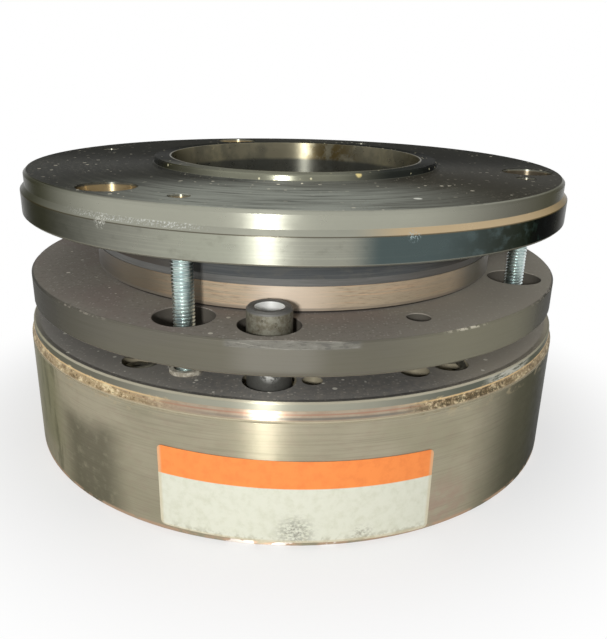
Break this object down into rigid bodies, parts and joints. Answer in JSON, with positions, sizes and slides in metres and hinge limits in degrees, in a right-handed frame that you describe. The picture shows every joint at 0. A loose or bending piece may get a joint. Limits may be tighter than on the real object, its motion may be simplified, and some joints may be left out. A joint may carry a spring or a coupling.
{
  "type": "electromagnetic brake",
  "caption": "Spring-applied electromagnetic disc brake: magnet body with coil and springs, armature plate, friction rotor on a splined hub, and a bored flange on long screws.",
  "frame": {"origin": "centre of the magnet body's underside, on the brake axis", "axes": "+Z along the brake axis towards the flange; +Y towards the cable inlet, -Y towards the label"},
  "size_m": [0.15, 0.1502, 0.0761],
  "materials": {
    "zinc_plated_steel": "yellowish zinc plating, dull, scratched",
    "bobbin_plastic": "moulded, matt",
    "copper": "enamelled copper wire",
    "sealing_compound": "cast resin, satin",
    "black_rubber": "moulded, matt",
    "label_foil": "printed foil, worn",
    "armature_steel": "ground, dull and dusty",
    "spring_steel": "drawn wire, oiled",
    "carrier_steel": "rolled sheet, satin",
    "friction_lining": "pressed friction compound",
    "hub_steel": "machined, satin",
    "sleeve_steel": "turned, grimy",
    "white_plastic": "moulded",
    "screw_zinc": "blue zinc plating, bright",
    "flange_steel": "turned, dark, dusty"
  },
  "bodies": {
    "stator": {"magnet_body": "zinc_plated_steel", "coil_bobbin": "bobbin_plastic", "coil_winding": "copper", "coil_potting": "sealing_compound", "cable_grommet": "black_rubber", "rating_label": "label_foil", "pressure_spring_1": "spring_steel", "pressure_spring_2": "spring_steel", "pressure_spring_3": "spring_steel", "pressure_spring_4": "spring_steel", "pressure_spring_5": "spring_steel", "pressure_spring_6": "spring_steel", "guide_sleeve_1": "sleeve_steel", "guide_sleeve_2": "sleeve_steel", "guide_sleeve_3": "sleeve_steel", "screw_bushes": "white_plastic", "fixing_screws": "screw_zinc", "flange": "flange_steel"},
    "armature": {"armature_plate": "armature_steel"},
    "rotor": {"rotor_carrier": "carrier_steel", "lower_lining": "friction_lining", "upper_lining": "friction_lining"},
    "hub": {"splined_hub": "hub_steel"}
  },
  "joints": [
    {"name": "armature_slide", "type": "slide", "parent": "stator", "child": "armature", "axis": [0, 0, 1], "range_m": [-0.0052, 0], "stiffness_N_per_m": 60000, "springref_m": 0.0002, "deforming": ["pressure_spring_1", "pressure_spring_2", "pressure_spring_3", "pressure_spring_4", "pressure_spring_5", "pressure_spring_6"]},
    {"name": "hub_spin", "type": "hinge", "parent": "stator", "child": "hub", "pos_m": [0, 0, 0.0465], "axis": [0, 0, 1], "continuous": true},
    {"name": "rotor_slide", "type": "slide", "parent": "hub", "child": "rotor", "axis": [0, 0, 1], "range_m": [-0.0052, 0]}
  ],
  "couplings": [
    {"joint": "rotor_slide", "follows": "armature_slide", "ratio": 1}
  ]
}
